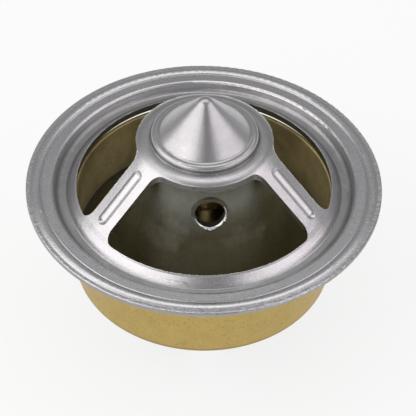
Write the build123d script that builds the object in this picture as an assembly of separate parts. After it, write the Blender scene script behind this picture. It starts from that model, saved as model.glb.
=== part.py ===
"""High-flow engine thermostat with a balanced sleeve valve.

Millimetres, +Z up towards the hub cone. The origin is on the centre axis, on the
seating face under the flange rim. The frame, bell, bridge and piston are fixed.
The brass sleeve and its wax element slide down together to open the valve.
"""
from build123d import *
import math
import os

# Flange frame, one pressed sheet
FRAME_T = 0.8
FLANGE_D = 54.0
RIM_FLAT_W = 2.25
RIM_LINE_D = 0.30
RIM_LINE_DEPTH = 0.10
RIM_BEAD_W = 1.6
RIM_BEAD_SLOPE = 25.0
RIM_BEAD_BEND = 1.25
RIM_BAND_W = 1.8
RIM_EDGE_BEND = 0.5
RIM_CORNER = 0.2
WALL_W = 0.65
WALL_FOOT_BEND = 0.7
VALLEY_DEPTH = 1.45
VALLEY_W = 1.6
VALLEY_BEND = 2.0
SHOULDER_R = 9.7
SHOULDER_Z = 10.0
SHOULDER_BEND = 2.4
SHOULDER_W = 1.65
STEP_FOOT_BEND = 0.25
STEP_WALL_W = 0.1
STEP_H = 1.1
STEP_TOP_BEND = 0.6
STEP_TOP_W = 1.1
CONE_FOOT_BEND = 0.5
CONE_H = 6.5
NOSE_R = 0.66
NOSE_FLAT_R = 0.03

# Windows and legs of the frame
LEG_COUNT = 3
LEG_START = 90.0
LEG_W = 4.8
WINDOW_OUT_MARGIN = 1.3
WINDOW_IN_MARGIN = 0.5
WINDOW_OUT_CORNER = 1.3
WINDOW_IN_CORNER = 2.0

# Sunk groove down each leg
GROOVE_R = 1.2
GROOVE_DEPTH = 0.5
GROOVE_IN_MARGIN = 2.2
GROOVE_OUT_MARGIN = 1.7

# Deflector bell
BELL_T = 0.6
BELL_STEP_BEND = 0.7
BELL_STEP_FOOT_BEND = 0.3
BELL_WALL_OVERHANG = 0.1
BELL_SHOULDER_BEND = 1.2
BELL_WALL_TILT = 9.0
BELL_FLARE_Z = -0.3
BLEED_HOLE_D = 4.5
BLEED_HOLE_DROP = 5.4
BLEED_HOLE_ANGLE = 271.5
BLEED_LIP_T = 0.45
BLEED_LIP_H = 0.4

# Seal round the rim of the bell
SEAL_EDGE_T = 0.35
SEAL_W = 1.6
SEAL_DEPTH = 1.6

# Valve sleeve
SLEEVE_SEAT_MARGIN = 0.7
SLEEVE_T = 0.65
SLEEVE_BOTTOM_Z = -15.8
SLEEVE_CORNER = 0.9
SLEEVE_LIP_W = 3.2
SLEEVE_EDGE = 0.2

# Spider that carries the element in the sleeve
SPIDER_T = 0.8
SPIDER_FLANGE_H = 1.7
SPIDER_FLANGE_BEND = 1.0
SPIDER_ARM_W = 4.2
SPIDER_FOOT_BEND = 1.2
SPIDER_HUB_BEND = 1.6
SPIDER_HUB_W = 3.2
SPIDER_HUB_Z = -7.2
SPIDER_CORNER = 1.2

# Lower bridge, one pressed strap
BRIDGE_T = 0.8
BRIDGE_LEG_INSET = 3.95
BRIDGE_LEG_W = 4.6
BRIDGE_BEND = 2.4
BRIDGE_KNEE_Z = -15.0
BRIDGE_KNEE_BEND = 6.0
BRIDGE_FOOT_W = 2.0
BRIDGE_COLLAR_H = 1.4
BRIDGE_COLLAR_BEND = 1.0
BRIDGE_RING_MARGIN = 0.5

# Wax element
CUP_R = 6.0
CUP_T = 0.5
CUP_LENGTH = 10.6
CUP_CORNER = 1.6
COLLAR_W = 1.5
COLLAR_BEND = 0.8
COLLAR_NECK_BEND = 0.4
CRIMP_W = 1.9
DIAPHRAGM_T = 1.2
GUIDE_FLANGE_T = 1.2
GUIDE_BASE_H = 1.0
GUIDE_TAPER_H = 1.3
GUIDE_T = 2.05
GUIDE_CHAMFER = 0.6
PLUG_H = 0.9
DISC_T = 0.4

# Piston
PISTON_D = 3.8
PISTON_TIP_R = 0.8

# Travel of the sleeve and its element
VALVE_TRAVEL = 8.0

# Return spring
SPRING_WIRE_D = 1.6
SPRING_ACTIVE_TURNS = 3.0
SPRING_END_GAP = 0.05
SPRING_GRIND = 0.4

# Fits and clearances
SEAT_GAP = 0.05
VALVE_SEAT_GAP = 0.2
RUN_CLEARANCE = 0.05
PASS_CLEARANCE = 0.3
ELEMENT_FIT = 0.05
LEG_PASS_CLEARANCE = 0.4
SPRING_CLEARANCE = 0.25
SEAL_CLEARANCE = 1.3
GUIDE_BASE_CLEARANCE = 0.3
GUIDE_HEADROOM = 1.65
CUP_FLOOR_CLEARANCE = 0.3

# Sizes that follow from the ones above
FLANGE_R = FLANGE_D / 2
RIM_FLAT_IN_R = FLANGE_R - RIM_FLAT_W
RIM_EDGE_R = RIM_FLAT_IN_R - RIM_BAND_W
VALLEY_R = RIM_EDGE_R - WALL_W
BAND_FOOT_R = VALLEY_R - VALLEY_W
VALLEY_Z = FRAME_T - VALLEY_DEPTH
STEP_FOOT_R = SHOULDER_R - SHOULDER_W
STEP_TOP_R = STEP_FOOT_R - STEP_WALL_W
STEP_Z = SHOULDER_Z + STEP_H
CONE_FOOT_R = STEP_TOP_R - STEP_TOP_W
NOSE_Z = STEP_Z + CONE_H
WINDOW_OUT_R = BAND_FOOT_R - WINDOW_OUT_MARGIN
WINDOW_IN_R = SHOULDER_R + WINDOW_IN_MARGIN
GROOVE_IN_R = SHOULDER_R + GROOVE_IN_MARGIN
GROOVE_OUT_R = WINDOW_OUT_R - GROOVE_OUT_MARGIN
BLEED_HOLE_Z = SHOULDER_Z - BLEED_HOLE_DROP
BELL_STEP_SHIFT = FRAME_T + SEAT_GAP
BELL_CROWN_Z = STEP_Z - BELL_STEP_SHIFT
SLEEVE_R = BAND_FOOT_R - SLEEVE_SEAT_MARGIN
SLEEVE_BORE_R = SLEEVE_R - SLEEVE_T
SEAL_R = SLEEVE_BORE_R - RUN_CLEARANCE
BELL_RIM_R = SEAL_R - SEAL_EDGE_T
PISTON_R = PISTON_D / 2
LEG_SLOPE = math.atan2(SHOULDER_Z - VALLEY_Z, BAND_FOOT_R - SHOULDER_R)
CONE_SLOPE = math.atan2(CONE_H, CONE_FOOT_R - NOSE_R)
LIP_TOP_Z = SLEEVE_BOTTOM_Z + SLEEVE_T
BELL_RIM_Z = LIP_TOP_Z + SEAT_GAP + SPIDER_FLANGE_H + SEAL_CLEARANCE + SEAL_DEPTH
SPIDER_HOLE_R = CUP_R + COLLAR_NECK_BEND + ELEMENT_FIT
COLLAR_R = CUP_R + COLLAR_W
GUIDE_BORE_R = PISTON_R + RUN_CLEARANCE
GUIDE_NECK_R = GUIDE_BORE_R + GUIDE_T
GUIDE_BASE_R = COLLAR_R - CRIMP_W - GUIDE_BASE_CLEARANCE
GUIDE_TOP_Z = BELL_CROWN_Z - BELL_T - GUIDE_HEADROOM
CUP_BOTTOM_Z = SPIDER_HUB_Z - CUP_LENGTH
BRIDGE_BOTTOM_Z = CUP_BOTTOM_Z - VALVE_TRAVEL - CUP_FLOOR_CLEARANCE
BRIDGE_TOP_Z = BRIDGE_BOTTOM_Z + BRIDGE_T
BRIDGE_LEG_R = SLEEVE_BORE_R - BRIDGE_LEG_INSET
WINDOW_START = LEG_START + 180 / LEG_COUNT
ON_BASE = (Align.CENTER, Align.CENTER, Align.MIN)


def revolved(section):
    """Turn a section drawn as (radius, height) into a solid round the centre axis."""
    return revolve(Plane.XZ * section, Axis.Z)


def sheet_section(line, thickness, side):
    """Section of a sheet whose one face is the given line."""
    return make_face(offset(line, amount=thickness, side=side, closed=True))


def bent_sheet_section(corners, bends, thickness):
    """Section of a sheet under a top face given by its corners, from the axis outwards, and their bends."""
    points = [Vector(*corner) for corner in corners]
    ways = [(end - start).normalized() for start, end in zip(points, points[1:])]
    normals = [Vector(way.Y, -way.X) for way in ways]
    under = [points[0] + normals[0] * thickness]
    under_bends = []
    for point, bend, before, after in zip(points[1:-1], bends, normals, normals[1:]):
        under.append(point + (before + after) * (thickness / (1 + before.dot(after))))
        turns_down = before.cross(after).Z < 0
        under_bends.append(max(bend - thickness, 0) if turns_down else bend + thickness)
    under.append(points[-1] + normals[-1] * thickness)
    top_face = FilletPolyline(*points, radius=bends)
    under_face = FilletPolyline(*under, radius=under_bends)
    ends = [Line(points[0], under[0]), Line(points[-1], under[-1])]
    return make_face([*top_face.edges(), *under_face.edges(), *ends])


def around(piece, start):
    """One copy of a piece for each leg, evenly spaced round the centre axis."""
    return [Rot(0, 0, start + number * 360 / LEG_COUNT) * piece for number in range(LEG_COUNT)]


def round_windows(inner_r, outer_r, inner_corner, outer_corner, arm_w):
    """Openings between radial arms, with rounded corners, as a flat sketch."""
    ring = Circle(outer_r) - Circle(inner_r)
    arm = Pos(outer_r, 0) * Rectangle(2 * outer_r, arm_w)
    windows = ring - around(arm, LEG_START)
    middle_r = (inner_r + outer_r) / 2
    inner_corners = [point for point in windows.vertices() if math.hypot(point.X, point.Y) < middle_r]
    windows = fillet(inner_corners, inner_corner)
    limit_r = outer_r - outer_corner / 2
    outer_corners = [point for point in windows.vertices() if math.hypot(point.X, point.Y) > limit_r]
    return fillet(outer_corners, outer_corner)


def heights_at(section, radius):
    """Lowest and highest point of a section at one radius."""
    reach = FLANGE_D
    cut = section & Line((radius, -reach), (radius, reach))
    heights = [vertex.Y for edge in cut.edges() for vertex in edge.vertices()]
    return min(heights), max(heights)


def rounded_rod(start, end, radius):
    """Rod with ball ends, from the centre of one ball to the centre of the other."""
    axis = end - start
    rod = extrude(Plane(origin=start, z_dir=axis) * Circle(radius), axis.length)
    return rod + Pos(*start) * Sphere(radius) + Pos(*end) * Sphere(radius)


# Flange frame

def valley_bend():
    """Bend between the valley's floor and the legs, limited by the floor that the wall's bend leaves."""
    wall_slope = math.atan2(VALLEY_DEPTH, WALL_W)
    floor_left = VALLEY_W - WALL_FOOT_BEND * math.tan(wall_slope / 2) - SEAT_GAP
    return min(VALLEY_BEND, floor_left / math.tan(LEG_SLOPE / 2))


def rim_bead():
    """Section of the raised bead that runs round the flange beside its turned line."""
    out_r = RIM_FLAT_IN_R + RIM_BEAD_W
    ridge_z = FRAME_T + RIM_BEAD_W / 2 * math.tan(math.radians(RIM_BEAD_SLOPE))
    flanks = FilletPolyline(
        (RIM_FLAT_IN_R, FRAME_T),
        (RIM_FLAT_IN_R + RIM_BEAD_W / 2, ridge_z),
        (out_r, FRAME_T),
        radius=[RIM_BEAD_BEND],
    )
    foot = Line((out_r, FRAME_T), (RIM_FLAT_IN_R, FRAME_T))
    return make_face([*flanks.edges(), foot])


def frame_section():
    """Section of the pressed sheet, from the nose of the hub to the rim of the flange."""
    corners = [
        (0, NOSE_Z),
        (NOSE_R, NOSE_Z),
        (CONE_FOOT_R, STEP_Z),
        (STEP_TOP_R, STEP_Z),
        (STEP_FOOT_R, SHOULDER_Z),
        (SHOULDER_R, SHOULDER_Z),
        (BAND_FOOT_R, VALLEY_Z),
        (VALLEY_R, VALLEY_Z),
        (RIM_EDGE_R, FRAME_T),
        (FLANGE_R, FRAME_T),
    ]
    bends = [
        (NOSE_R - NOSE_FLAT_R) / math.tan(CONE_SLOPE / 2),
        CONE_FOOT_BEND,
        STEP_TOP_BEND,
        STEP_FOOT_BEND,
        SHOULDER_BEND,
        valley_bend(),
        WALL_FOOT_BEND,
        RIM_EDGE_BEND,
    ]
    section = bent_sheet_section(corners, bends, FRAME_T)
    rim_corners = section.vertices().group_by(Axis.X)[-1]
    return fillet(rim_corners, RIM_CORNER) + rim_bead()


def leg_point(radius, height):
    """Point above or below the top face of the first leg, along its middle."""
    along = radius - SHOULDER_R
    x = radius + height * math.sin(LEG_SLOPE)
    z = SHOULDER_Z - along * math.tan(LEG_SLOPE) + height * math.cos(LEG_SLOPE)
    return Vector(x, 0, z)


def flange_frame():
    """Rim, valley, three grooved legs and the stepped hub cone, pressed from one sheet."""
    frame = revolved(frame_section())
    windows = round_windows(WINDOW_IN_R, WINDOW_OUT_R, WINDOW_IN_CORNER, WINDOW_OUT_CORNER, LEG_W)
    frame -= extrude(Pos(0, 0, -FLANGE_D) * windows, 2 * FLANGE_D)

    lift = GROOVE_R - GROOVE_DEPTH
    start = leg_point(GROOVE_IN_R, lift)
    end = leg_point(GROOVE_OUT_R, lift)
    middle = leg_point(GROOVE_IN_R, -FRAME_T / 2)
    back = rounded_rod(start, end, GROOVE_R + FRAME_T)
    leg_normal = Vector(math.sin(LEG_SLOPE), 0, math.cos(LEG_SLOPE))
    back = split(back, Plane(origin=middle, z_dir=leg_normal), keep=Keep.BOTTOM)
    groove = rounded_rod(start, end, GROOVE_R)
    frame += around(back, LEG_START)
    frame -= around(groove, LEG_START)

    line_centre = (RIM_FLAT_IN_R, FRAME_T + RIM_LINE_D / 2 - RIM_LINE_DEPTH)
    return frame - revolved(Pos(*line_centre) * Circle(RIM_LINE_D / 2))


# Deflector bell and its seal

def bell_line():
    """Outer face of the bell, from its crown hole to its rim."""
    shoulder_z = SHOULDER_Z - BELL_STEP_SHIFT
    wall_r = SHOULDER_R + BELL_WALL_OVERHANG
    tilt = math.radians(BELL_WALL_TILT)
    wall_end_r = wall_r + (shoulder_z - BELL_FLARE_Z) * math.tan(tilt)
    crown = FilletPolyline(
        (PISTON_R + PASS_CLEARANCE, BELL_CROWN_Z),
        (STEP_TOP_R - BELL_STEP_SHIFT, BELL_CROWN_Z),
        (STEP_FOOT_R - BELL_STEP_SHIFT, shoulder_z),
        (wall_r, shoulder_z),
        (wall_end_r, BELL_FLARE_Z),
        radius=[BELL_STEP_BEND, BELL_STEP_FOOT_BEND, BELL_SHOULDER_BEND],
    )
    flare = TangentArc((wall_end_r, BELL_FLARE_Z), (BELL_RIM_R, BELL_RIM_Z), tangent=crown % 1)
    return Wire([*crown.edges(), flare])


def bell_section():
    """Section of the bell's sheet."""
    return sheet_section(bell_line(), BELL_T, Side.RIGHT)


def bleed_hole_bar(radius, start_r, end_r):
    """Round bar through the bell's wall on the line of the bleed hole."""
    start = Plane(origin=(start_r, 0, BLEED_HOLE_Z), z_dir=(1, 0, 0))
    return Rot(0, 0, BLEED_HOLE_ANGLE) * extrude(start * Circle(radius), end_r - start_r)


def deflector_bell():
    """Bell with a stepped crown that nests in the hub, and one drawn bleed hole."""
    line = bell_line()
    bell = revolved(sheet_section(line, BELL_T, Side.RIGHT))
    raised = revolved(sheet_section(line, BLEED_LIP_H, Side.LEFT))
    hole_r = BLEED_HOLE_D / 2
    bell += raised & bleed_hole_bar(hole_r + BLEED_LIP_T, 0, SLEEVE_R)
    return bell - bleed_hole_bar(hole_r, 0, SLEEVE_R)


def bell_seal():
    """Rubber ring under the bell's brim, with a thin edge between the bell's rim and the sleeve."""
    inner_r = BELL_RIM_R - SEAL_W
    bottom_z = BELL_RIM_Z - SEAL_DEPTH
    ring = Polyline(
        (inner_r, BELL_RIM_Z),
        (SEAL_R, BELL_RIM_Z),
        (SEAL_R, bottom_z),
        (inner_r, bottom_z),
        close=True,
    )
    section = make_face(ring) - bell_section()
    body = section.faces().sort_by(SortBy.AREA)[-1]
    bottom_corners = body.vertices().group_by(Axis.Y)[0]
    return revolved(fillet(bottom_corners, SEAL_EDGE_T / 2))


# Valve sleeve and the spider in it

def valve_sleeve():
    """Drawn brass sleeve with a turned-in bottom edge."""
    top_z = heights_at(frame_section(), SLEEVE_R)[0] - VALVE_SEAT_GAP
    outside = FilletPolyline(
        (SLEEVE_R, top_z),
        (SLEEVE_R, SLEEVE_BOTTOM_Z),
        (SLEEVE_R - SLEEVE_LIP_W, SLEEVE_BOTTOM_Z),
        radius=[SLEEVE_CORNER],
    )
    section = sheet_section(outside, SLEEVE_T, Side.RIGHT)
    section = fillet(section.vertices().group_by(Axis.Y)[-1], SLEEVE_EDGE)
    section = fillet(section.vertices().group_by(Axis.X)[0], SLEEVE_EDGE)
    return revolved(section)


def sleeve_spider():
    """Pressed cone with three arms, from the sleeve's bottom edge up to the element's collar."""
    ring_z = LIP_TOP_Z + SEAT_GAP + SPIDER_T
    ring_in_r = BRIDGE_LEG_R + BRIDGE_T / 2 + LEG_PASS_CLEARANCE
    hub_out_r = SPIDER_HOLE_R + SPIDER_HUB_W
    top_line = FilletPolyline(
        (SLEEVE_BORE_R - ELEMENT_FIT - SPIDER_T, ring_z - SPIDER_T + SPIDER_FLANGE_H),
        (SLEEVE_BORE_R - ELEMENT_FIT - SPIDER_T, ring_z),
        (ring_in_r, ring_z),
        (hub_out_r, SPIDER_HUB_Z),
        (SPIDER_HOLE_R, SPIDER_HUB_Z),
        radius=[SPIDER_FLANGE_BEND - SPIDER_T, SPIDER_FOOT_BEND, SPIDER_HUB_BEND],
    )
    spider = revolved(sheet_section(top_line, SPIDER_T, Side.LEFT))
    gaps = round_windows(hub_out_r, ring_in_r, SPIDER_CORNER, SPIDER_CORNER, SPIDER_ARM_W)
    return spider - extrude(Pos(0, 0, -FLANGE_D) * gaps, FLANGE_D)


# Wax element, carried by the spider

def charge_cup():
    """Copper cup with a wider collar that is crimped over the guide's flange."""
    crimp_z = SPIDER_HUB_Z + 2 * CUP_T + DIAPHRAGM_T + GUIDE_FLANGE_T
    outside = FilletPolyline(
        (0, CUP_BOTTOM_Z),
        (CUP_R, CUP_BOTTOM_Z),
        (CUP_R, SPIDER_HUB_Z),
        (COLLAR_R, SPIDER_HUB_Z),
        (COLLAR_R, crimp_z),
        (COLLAR_R - CRIMP_W, crimp_z),
        radius=[CUP_CORNER, COLLAR_NECK_BEND, COLLAR_BEND, COLLAR_BEND],
    )
    return revolved(sheet_section(outside, CUP_T, Side.LEFT))


def diaphragm():
    """Rubber disc clamped in the collar, over the wax."""
    bottom_z = SPIDER_HUB_Z + CUP_T
    disc = Pos(0, 0, bottom_z) * Cylinder(COLLAR_R - CUP_T - ELEMENT_FIT, DIAPHRAGM_T, align=ON_BASE)
    return fillet(disc.edges().group_by(Axis.Z)[0], COLLAR_BEND - CUP_T)


def element_guide():
    """Turned brass guide, flanged at the foot, that runs on the piston."""
    foot_z = SPIDER_HUB_Z + CUP_T + DIAPHRAGM_T
    flange_z = foot_z + GUIDE_FLANGE_T
    base_z = flange_z + CUP_T + GUIDE_BASE_H
    neck_z = base_z + GUIDE_TAPER_H
    flange_r = COLLAR_R - CUP_T - ELEMENT_FIT
    section = make_face(Polyline(
        (GUIDE_BORE_R, foot_z),
        (flange_r, foot_z),
        (flange_r, flange_z),
        (GUIDE_BASE_R, flange_z),
        (GUIDE_BASE_R, base_z),
        (GUIDE_NECK_R, neck_z),
        (GUIDE_NECK_R, GUIDE_TOP_Z - GUIDE_CHAMFER),
        (GUIDE_NECK_R - GUIDE_CHAMFER, GUIDE_TOP_Z),
        (GUIDE_BORE_R, GUIDE_TOP_Z),
        close=True,
    ))
    top_corner = section.vertices().sort_by_distance((flange_r, flange_z))[0]
    return revolved(fillet(top_corner, COLLAR_BEND - CUP_T))


def bore_filling(bottom_z, height):
    """Short round piece that fills the guide's bore."""
    return Pos(0, 0, bottom_z) * Cylinder(PISTON_R, height, align=ON_BASE)


def wax_charge():
    """Wax that fills the cup below the diaphragm."""
    bottom_z = CUP_BOTTOM_Z + CUP_T + ELEMENT_FIT
    height = SPIDER_HUB_Z + CUP_T - ELEMENT_FIT - bottom_z
    wax = Pos(0, 0, bottom_z) * Cylinder(CUP_R - CUP_T - ELEMENT_FIT, height, align=ON_BASE)
    return fillet(wax.edges().group_by(Axis.Z)[0], CUP_CORNER - CUP_T)


# Piston, fixed in the hub cone

def piston(bottom_z):
    """Steel pin whose cone nose seats inside the hub cone."""
    cone_in_r = NOSE_R - BELL_STEP_SHIFT / math.sin(CONE_SLOPE)
    shoulder_z = NOSE_Z - (PISTON_R - cone_in_r) * math.tan(CONE_SLOPE)
    tip_z = NOSE_Z - (PISTON_TIP_R - cone_in_r) * math.tan(CONE_SLOPE)
    section = make_face(Polyline(
        (0, bottom_z),
        (PISTON_R, bottom_z),
        (PISTON_R, shoulder_z),
        (PISTON_TIP_R, tip_z),
        (0, tip_z),
        close=True,
    ))
    bottom_corner = section.vertices().sort_by_distance((PISTON_R, bottom_z))[0]
    return revolved(fillet(bottom_corner, PISTON_TIP_R / 2))


# Lower bridge and the return spring on it

def bridge_foot_section():
    """Section of the foot that lies under the bell's brim."""
    inner_r = BRIDGE_LEG_R - BRIDGE_T / 2
    reach = Pos(inner_r + BRIDGE_FOOT_W / 2, 0) * Rectangle(BRIDGE_FOOT_W, FLANGE_D)
    near = sheet_section(bell_line(), BELL_T + SEAT_GAP, Side.RIGHT)
    far = sheet_section(bell_line(), BELL_T + SEAT_GAP + BRIDGE_T, Side.RIGHT)
    return (far - near) & reach


def lower_bridge():
    """Strap under the bell: a bottom ring with a collar for the spring, and legs up to the brim."""
    collar_r = CUP_R + LEG_PASS_CLEARANCE
    ring_r = collar_r + 2 * BRIDGE_T + SPRING_WIRE_D + BRIDGE_RING_MARGIN
    ring_line = FilletPolyline(
        (collar_r, BRIDGE_TOP_Z + BRIDGE_COLLAR_H),
        (collar_r, BRIDGE_BOTTOM_Z),
        (ring_r, BRIDGE_BOTTOM_Z),
        radius=[BRIDGE_COLLAR_BEND],
    )
    ring = revolved(sheet_section(ring_line, BRIDGE_T, Side.LEFT))

    foot_section = bridge_foot_section()
    foot_z = heights_at(foot_section, BRIDGE_LEG_R)[0] + BRIDGE_T / 2
    leg_line = FilletPolyline(
        (BRIDGE_LEG_R, foot_z),
        (BRIDGE_LEG_R, BRIDGE_KNEE_Z),
        (ring_r, BRIDGE_BOTTOM_Z + BRIDGE_T / 2),
        (collar_r, BRIDGE_BOTTOM_Z + BRIDGE_T / 2),
        radius=[BRIDGE_KNEE_BEND, BRIDGE_BEND],
    )
    leg_section = make_face(offset(leg_line, amount=BRIDGE_T / 2))
    leg = extrude(Plane.XZ * leg_section, BRIDGE_LEG_W / 2, both=True)
    leg -= Pos(0, 0, -FLANGE_D / 2) * Cylinder(ring_r - BRIDGE_RING_MARGIN, FLANGE_D)
    foot = revolved(foot_section) & Pos(SLEEVE_R / 2, 0) * Box(SLEEVE_R, BRIDGE_LEG_W, FLANGE_D)
    return ring + around(leg + foot, WINDOW_START)


def return_spring():
    """Coil spring with closed, ground ends, between the bridge's ring and the spider's hub."""
    coil_r = CUP_R + LEG_PASS_CLEARANCE + BRIDGE_T + SPRING_CLEARANCE + SPRING_WIRE_D / 2
    bottom_z = BRIDGE_TOP_Z + SEAT_GAP
    top_z = SPIDER_HUB_Z - SPIDER_T - SEAT_GAP
    end_pitch = SPRING_WIRE_D + SPRING_END_GAP
    end_z = SPRING_WIRE_D / 2 - SPRING_GRIND
    active_h = top_z - bottom_z - 2 * end_pitch - 2 * end_z
    stretches = [
        (end_pitch, end_pitch),
        (active_h / SPRING_ACTIVE_TURNS, active_h),
        (end_pitch, end_pitch),
    ]
    spring = Part()
    turned = 0.0
    start_z = bottom_z + end_z
    for pitch, height in stretches:
        coil = Pos(0, 0, start_z) * Rot(0, 0, turned) * Helix(pitch, height, coil_r)
        wire_section = Plane(origin=coil @ 0, z_dir=coil % 0) * Circle(SPRING_WIRE_D / 2)
        spring += sweep(wire_section, coil, is_frenet=True)
        turned += 360 * height / pitch
        start_z += height
    ground = Box(2 * SLEEVE_R, 2 * SLEEVE_R, SPRING_WIRE_D, align=ON_BASE)
    spring -= Pos(0, 0, bottom_z - SPRING_WIRE_D) * ground
    return spring - Pos(0, 0, top_z) * ground


def thermostat():
    """Every piece by its name."""
    piston_bottom_z = SPIDER_HUB_Z + CUP_T + DIAPHRAGM_T + PLUG_H + DISC_T + SEAT_GAP
    plug_z = SPIDER_HUB_Z + CUP_T + DIAPHRAGM_T
    return {
        "flange_frame": flange_frame(),
        "deflector_bell": deflector_bell(),
        "bell_seal": bell_seal(),
        "lower_bridge": lower_bridge(),
        "piston": piston(piston_bottom_z),
        "return_spring": return_spring(),
        "valve_sleeve": valve_sleeve(),
        "sleeve_spider": sleeve_spider(),
        "charge_cup": charge_cup(),
        "element_guide": element_guide(),
        "diaphragm": diaphragm(),
        "plunger_plug": bore_filling(plug_z, PLUG_H),
        "anti_extrusion_disc": bore_filling(plug_z + PLUG_H, DISC_T),
        "wax_charge": wax_charge(),
    }


if __name__ == "__main__":
    os.makedirs("parts", exist_ok=True)
    for name, piece in thermostat().items():
        export_step(piece, f"parts/{name}.step")
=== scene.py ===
"""Finishes the packed engine thermostat: satin pressed steel, drawn brass, the wax element's metals,
the burrs that a punch leaves, and a small studio.

Laid out as an add-on, and run as a script. Lengths are in metres where nothing says mm.
"""
import math
from functools import partialmethod

import bmesh
import bpy
from bpy.props import FloatProperty, FloatVectorProperty, IntProperty, PointerProperty
from mathutils import Euler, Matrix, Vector, noise


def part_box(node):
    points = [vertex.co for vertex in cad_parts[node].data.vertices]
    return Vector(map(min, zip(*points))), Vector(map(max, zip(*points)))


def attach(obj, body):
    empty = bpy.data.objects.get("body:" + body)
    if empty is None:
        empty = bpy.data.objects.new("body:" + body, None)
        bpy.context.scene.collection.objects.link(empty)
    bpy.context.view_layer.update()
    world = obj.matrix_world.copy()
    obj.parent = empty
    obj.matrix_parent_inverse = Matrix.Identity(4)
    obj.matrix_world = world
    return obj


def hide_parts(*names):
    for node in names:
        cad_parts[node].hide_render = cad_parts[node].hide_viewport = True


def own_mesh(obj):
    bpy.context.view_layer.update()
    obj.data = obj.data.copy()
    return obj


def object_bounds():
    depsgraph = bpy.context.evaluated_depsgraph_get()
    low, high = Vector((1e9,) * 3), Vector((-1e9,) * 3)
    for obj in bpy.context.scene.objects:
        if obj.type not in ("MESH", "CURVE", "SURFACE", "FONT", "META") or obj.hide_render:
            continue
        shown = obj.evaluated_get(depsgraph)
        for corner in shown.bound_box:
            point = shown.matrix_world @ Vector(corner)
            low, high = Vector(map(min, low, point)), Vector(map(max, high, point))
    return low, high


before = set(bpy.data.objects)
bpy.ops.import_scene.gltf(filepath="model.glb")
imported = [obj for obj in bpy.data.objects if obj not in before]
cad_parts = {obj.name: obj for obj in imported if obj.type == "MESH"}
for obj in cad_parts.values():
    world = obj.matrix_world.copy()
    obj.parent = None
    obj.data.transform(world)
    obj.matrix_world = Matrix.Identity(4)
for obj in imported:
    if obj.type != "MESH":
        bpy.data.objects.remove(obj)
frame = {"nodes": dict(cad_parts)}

bl_info = {
    "name": "Engine Thermostat Finish",
    "version": (1, 0, 0),
    "blender": (4, 5, 0),
    "location": "View3D > Sidebar > Thermostat",
    "description": "Metal finishes, punch burrs, the torn lip of the bleed hole and a studio",
    "category": "Object",
}

MM = 0.001
CAD_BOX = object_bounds()
FLOOR_Z = CAD_BOX[0].z
FLANGE_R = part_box("flange_frame")[1].x
SLEEVE_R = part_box("valve_sleeve")[1].x
SLEEVE_T = 0.65 * MM
SLEEVE_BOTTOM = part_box("valve_sleeve")[0].z

# Steps in a window's corner and arc, sides of the burr and the wire, steps in one turn of the
# spring and stations round the torn lip
CORNER_STEPS = 8
ARC_STEPS = 48
BEAD_SIDES = 6
WIRE_SIDES = 24
COIL_STEPS = 48
LIP_STATIONS = 180
# Section of the torn lip: shares of its thickness, outward, and of its height
LIP_STEPS = ((-0.15, -0.6), (-0.1, 0.2), (0.25, 0.9), (0.75, 1.0), (1.1, 0.35), (1.2, -0.6))

# Places on the frame in mm where shade is painted, each with its start, end and fade: four by radius and one
# by height; the hub ring is darkened evenly
VALLEY_RING = (20.95, 22.45, 0.25)
WALL_FOOT_RING = (21.95, 22.35, 0.35)
HUB_RING = (0.0, 9.9, 0.4)
STEP_FOOT_RING = (7.9, 8.25, 0.3)
STEP_FOOT_HEIGHT = (9.9, 10.5, 0.3)

# The soft bend between the legs' slope and the valley's floor, in mm, and where it looks creased
LEG_FALL = math.tan(math.radians(44.07))
BEND_R = 2.0
BEND_START = 20.118
BEND_END = 21.510
CREASE = 20.95
CREASE_SOFTNESS = 0.22
CREASE_FADE = (19.0, 19.6)

# Places in mm: x, y and z of the bleed hole, and x, y, z and radius of clean places on the bell, lighter and
# darker places in the bore, and painted glints
HOLE_PLACE = (0.27, -10.9, 4.6)
BELL_CLEAN = (
    (-5.5, -10.0, -0.9, 2.8), (-4.3, -10.3, 0.8, 2.2), (4.6, -10.4, -0.4, 2.6), (8.2, -8.6, -1.5, 2.6),
    (-8.5, -8.0, -1.0, 3.0),
)
# Lighter places in the bore, and a darker one high at the back right
BORE_LIGHTER = ((-14.9, 12.3, -6.0, 6.0), (-18.0, 7.1, -7.4, 5.0), (18.9, 4.3, -7.0, 6.0))
BORE_DARK = ((13.6, 13.8, -2.2, 4.5),)
# Painted glints: small bright spots on the window edges and a leg
GLINT_SPOTS = (
    (-17.1, 9.2, 0.6, 0.35), (-14.8, 12.6, 0.4, 0.2), (-6.3, 18.3, 0.2, 0.2), (-9.9, -6.0, 7.6, 0.25),
    (-10.7, -9.0, 5.1, 0.3),
)

# Half the floor's width, how much it glows, the side where the room is dimmer, and the width of
# the camera's sensor in mm
FLOOR_REACH = 6.0
FLOOR_GLOW = 0.80
DIM_SIDE = (0.0, -0.74, 0.67)
SENSOR_WIDTH = 36
# Softboxes: direction and elevation in degrees, width and height, and colour
LEFT_BOX = ((201, 34), (0.78, 0.50), (1.0, 0.965, 0.95))
RIGHT_BOX = ((338, 35), (0.62, 0.30), (1.0, 0.935, 0.95))
# Top panel: place, width and height as shares of the softboxes' distance, and colour
TOP_PANEL = ((-0.05, 0.32, 1.0), (1.30, 0.56), (1.0, 0.99, 0.98))


# Settings that a user would change

def colour(name, description, default):
    """Colour setting."""
    return FloatVectorProperty(
        name=name, description=description, default=default, subtype="COLOR", size=3, min=0, max=1
    )


def share(name, description, default):
    """Setting from 0 to 1."""
    return FloatProperty(name=name, description=description, default=default, subtype="FACTOR", min=0, max=1)


def length(name, description, default):
    """Setting in metres, with its default given in mm."""
    return FloatProperty(
        name=name, description=description, default=default * MM, subtype="DISTANCE", unit="LENGTH",
        precision=5,
    )


def angle(name, description, default):
    """Angle setting, given in degrees."""
    return FloatProperty(
        name=name, description=description, default=math.radians(default), subtype="ANGLE", unit="ROTATION"
    )


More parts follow.
